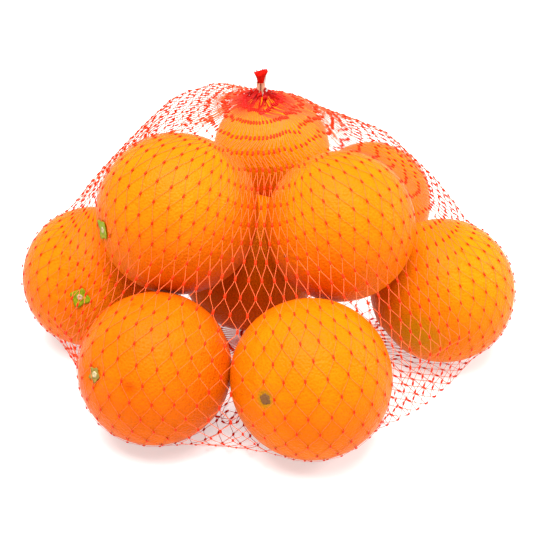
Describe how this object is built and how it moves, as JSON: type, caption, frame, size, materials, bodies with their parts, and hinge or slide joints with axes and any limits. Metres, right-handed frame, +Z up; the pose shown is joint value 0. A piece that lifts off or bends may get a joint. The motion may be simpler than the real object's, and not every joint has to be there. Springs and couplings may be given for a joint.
{
  "type": "net of oranges",
  "caption": "Clipped red net bag of table oranges, heaped in two layers, standing on a flat base of net.",
  "frame": {"origin": "middle of the base, on the table the net stands on", "axes": "+X to the right across the heap, +Z up through the clip and tuft, front towards -Y"},
  "size_m": [0.2706, 0.2585, 0.1585],
  "materials": {
    "orange_peel": "waxed orange peel with fine pores, soft sheen",
    "red_net": "extruded and stretched polyethylene net",
    "clip_strip": "thin crimped strip, satin, warm tint",
    "orange_stem": "dry green calyx and pale stem scar"
  },
  "bodies": {
    "root": {"net_of_oranges": "orange_peel", "clip": "clip_strip", "tuft": "red_net"}
  },
  "joints": []
}
